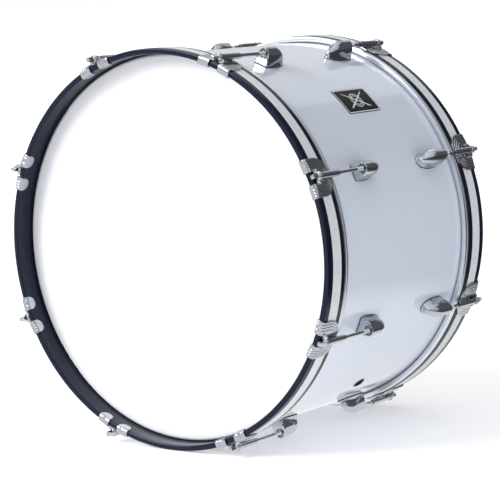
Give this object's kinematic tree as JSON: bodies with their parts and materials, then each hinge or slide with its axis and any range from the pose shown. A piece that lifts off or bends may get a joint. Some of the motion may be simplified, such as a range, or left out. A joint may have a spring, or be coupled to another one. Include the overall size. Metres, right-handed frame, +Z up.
{
  "type": "bass drum",
  "caption": "Wide shallow marching-size bass drum: gloss white shell, black hoops with a pale stripe, double claws, tension rods and bullet lugs.",
  "frame": {"origin": "on the floor under the middle of the drum, which rests on its two hoops", "axes": "+Z up, Y along the drum axis with the front head facing -Y, +X to the right seen from the front"},
  "size_m": [0.584, 0.427, 0.584],
  "materials": {
    "shell_wood": "clear sealed",
    "white_wrap": "gloss",
    "badge_black": "gloss with a silver border",
    "chrome_trim": "polished",
    "silver_stripe": "satin",
    "bright_aluminium": "bright",
    "black_hoop": "gloss lacquer",
    "white_head": "smooth film",
    "chrome_claw": "polished",
    "chrome_rod": "polished",
    "chrome_lug": "polished",
    "gasket_rubber": "matte",
    "nut_brass": "plated",
    "spring_steel": "oiled",
    "steel_fastener": "zinc plated"
  },
  "bodies": {
    "shell": {"badge_plate": "badge_black", "front_lugs": "chrome_lug", "lug_gaskets": "gasket_rubber", "lug_screw_washers": "steel_fastener", "lug_screws": "steel_fastener", "nut_clips": "spring_steel", "rear_lugs": "chrome_lug", "shell_plies": "shell_wood", "shell_wrap": "white_wrap", "swivel_nuts": "nut_brass", "vent_grommet": "chrome_trim"},
    "front_head_assembly": {"front_claw_1": "chrome_claw", "front_claw_2": "chrome_claw", "front_claw_3": "chrome_claw", "front_claw_4": "chrome_claw", "front_claw_5": "chrome_claw", "front_claw_6": "chrome_claw", "front_claw_7": "chrome_claw", "front_claw_8": "chrome_claw", "front_flesh_hoop": "bright_aluminium", "front_head": "white_head", "front_hoop": "black_hoop", "front_hoop_stripe": "silver_stripe", "front_rod_washers": "steel_fastener"},
    "rear_head_assembly": {"rear_claw_1": "chrome_claw", "rear_claw_2": "chrome_claw", "rear_claw_3": "chrome_claw", "rear_claw_4": "chrome_claw", "rear_claw_5": "chrome_claw", "rear_claw_6": "chrome_claw", "rear_claw_7": "chrome_claw", "rear_claw_8": "chrome_claw", "rear_flesh_hoop": "bright_aluminium", "rear_head": "white_head", "rear_hoop": "black_hoop", "rear_hoop_stripe": "silver_stripe", "rear_rod_washers": "steel_fastener"},
    "front_tension_rod_1": {"front_tension_rod_1": "chrome_rod"},
    "front_tension_rod_2": {"front_tension_rod_2": "chrome_rod"},
    "front_tension_rod_3": {"front_tension_rod_3": "chrome_rod"},
    "front_tension_rod_4": {"front_tension_rod_4": "chrome_rod"},
    "front_tension_rod_5": {"front_tension_rod_5": "chrome_rod"},
    "front_tension_rod_6": {"front_tension_rod_6": "chrome_rod"},
    "front_tension_rod_7": {"front_tension_rod_7": "chrome_rod"},
    "front_tension_rod_8": {"front_tension_rod_8": "chrome_rod"},
    "rear_tension_rod_1": {"rear_tension_rod_1": "chrome_rod"},
    "rear_tension_rod_2": {"rear_tension_rod_2": "chrome_rod"},
    "rear_tension_rod_3": {"rear_tension_rod_3": "chrome_rod"},
    "rear_tension_rod_4": {"rear_tension_rod_4": "chrome_rod"},
    "rear_tension_rod_5": {"rear_tension_rod_5": "chrome_rod"},
    "rear_tension_rod_6": {"rear_tension_rod_6": "chrome_rod"},
    "rear_tension_rod_7": {"rear_tension_rod_7": "chrome_rod"},
    "rear_tension_rod_8": {"rear_tension_rod_8": "chrome_rod"}
  },
  "joints": [
    {"name": "front_head_lift", "type": "slide", "parent": "shell", "child": "front_head_assembly", "axis": [0, -1, 0], "range_m": [0, 0.006]},
    {"name": "front_tension_rod_1_turn", "type": "hinge", "parent": "front_head_assembly", "child": "front_tension_rod_1", "pos_m": [0.11481, 0, 0.56916], "axis": [0, -1, 0], "range_deg": [0, 2160]},
    {"name": "front_tension_rod_2_turn", "type": "hinge", "parent": "front_head_assembly", "child": "front_tension_rod_2", "pos_m": [0.27716, 0, 0.40681], "axis": [0, -1, 0], "range_deg": [0, 2160]},
    {"name": "front_tension_rod_3_turn", "type": "hinge", "parent": "front_head_assembly", "child": "front_tension_rod_3", "pos_m": [0.27716, 0, 0.17719], "axis": [0, -1, 0], "range_deg": [0, 2160]},
    {"name": "front_tension_rod_4_turn", "type": "hinge", "parent": "front_head_assembly", "child": "front_tension_rod_4", "pos_m": [0.11481, 0, 0.01484], "axis": [0, -1, 0], "range_deg": [0, 2160]},
    {"name": "front_tension_rod_5_turn", "type": "hinge", "parent": "front_head_assembly", "child": "front_tension_rod_5", "pos_m": [-0.11481, 0, 0.01484], "axis": [0, -1, 0], "range_deg": [0, 2160]},
    {"name": "front_tension_rod_6_turn", "type": "hinge", "parent": "front_head_assembly", "child": "front_tension_rod_6", "pos_m": [-0.27716, 0, 0.17719], "axis": [0, -1, 0], "range_deg": [0, 2160]},
    {"name": "front_tension_rod_7_turn", "type": "hinge", "parent": "front_head_assembly", "child": "front_tension_rod_7", "pos_m": [-0.27716, 0, 0.40681], "axis": [0, -1, 0], "range_deg": [0, 2160]},
    {"name": "front_tension_rod_8_turn", "type": "hinge", "parent": "front_head_assembly", "child": "front_tension_rod_8", "pos_m": [-0.11481, 0, 0.56916], "axis": [0, -1, 0], "range_deg": [0, 2160]},
    {"name": "rear_head_lift", "type": "slide", "parent": "shell", "child": "rear_head_assembly", "axis": [0, 1, 0], "range_m": [0, 0.006]},
    {"name": "rear_tension_rod_1_turn", "type": "hinge", "parent": "rear_head_assembly", "child": "rear_tension_rod_1", "pos_m": [0.11481, 0, 0.56916], "axis": [0, 1, 0], "range_deg": [0, 2160]},
    {"name": "rear_tension_rod_2_turn", "type": "hinge", "parent": "rear_head_assembly", "child": "rear_tension_rod_2", "pos_m": [0.27716, 0, 0.40681], "axis": [0, 1, 0], "range_deg": [0, 2160]},
    {"name": "rear_tension_rod_3_turn", "type": "hinge", "parent": "rear_head_assembly", "child": "rear_tension_rod_3", "pos_m": [0.27716, 0, 0.17719], "axis": [0, 1, 0], "range_deg": [0, 2160]},
    {"name": "rear_tension_rod_4_turn", "type": "hinge", "parent": "rear_head_assembly", "child": "rear_tension_rod_4", "pos_m": [0.11481, 0, 0.01484], "axis": [0, 1, 0], "range_deg": [0, 2160]},
    {"name": "rear_tension_rod_5_turn", "type": "hinge", "parent": "rear_head_assembly", "child": "rear_tension_rod_5", "pos_m": [-0.11481, 0, 0.01484], "axis": [0, 1, 0], "range_deg": [0, 2160]},
    {"name": "rear_tension_rod_6_turn", "type": "hinge", "parent": "rear_head_assembly", "child": "rear_tension_rod_6", "pos_m": [-0.27716, 0, 0.17719], "axis": [0, 1, 0], "range_deg": [0, 2160]},
    {"name": "rear_tension_rod_7_turn", "type": "hinge", "parent": "rear_head_assembly", "child": "rear_tension_rod_7", "pos_m": [-0.27716, 0, 0.40681], "axis": [0, 1, 0], "range_deg": [0, 2160]},
    {"name": "rear_tension_rod_8_turn", "type": "hinge", "parent": "rear_head_assembly", "child": "rear_tension_rod_8", "pos_m": [-0.11481, 0, 0.56916], "axis": [0, 1, 0], "range_deg": [0, 2160]}
  ],
  "couplings": [
    {"joint": "front_tension_rod_1_turn", "follows": "front_head_lift", "rad_per_m": 6283.2},
    {"joint": "front_tension_rod_2_turn", "follows": "front_head_lift", "rad_per_m": 6283.2},
    {"joint": "front_tension_rod_3_turn", "follows": "front_head_lift", "rad_per_m": 6283.2},
    {"joint": "front_tension_rod_4_turn", "follows": "front_head_lift", "rad_per_m": 6283.2},
    {"joint": "front_tension_rod_5_turn", "follows": "front_head_lift", "rad_per_m": 6283.2},
    {"joint": "front_tension_rod_6_turn", "follows": "front_head_lift", "rad_per_m": 6283.2},
    {"joint": "front_tension_rod_7_turn", "follows": "front_head_lift", "rad_per_m": 6283.2},
    {"joint": "front_tension_rod_8_turn", "follows": "front_head_lift", "rad_per_m": 6283.2},
    {"joint": "rear_tension_rod_1_turn", "follows": "rear_head_lift", "rad_per_m": 6283.2},
    {"joint": "rear_tension_rod_2_turn", "follows": "rear_head_lift", "rad_per_m": 6283.2},
    {"joint": "rear_tension_rod_3_turn", "follows": "rear_head_lift", "rad_per_m": 6283.2},
    {"joint": "rear_tension_rod_4_turn", "follows": "rear_head_lift", "rad_per_m": 6283.2},
    {"joint": "rear_tension_rod_5_turn", "follows": "rear_head_lift", "rad_per_m": 6283.2},
    {"joint": "rear_tension_rod_6_turn", "follows": "rear_head_lift", "rad_per_m": 6283.2},
    {"joint": "rear_tension_rod_7_turn", "follows": "rear_head_lift", "rad_per_m": 6283.2},
    {"joint": "rear_tension_rod_8_turn", "follows": "rear_head_lift", "rad_per_m": 6283.2}
  ]
}
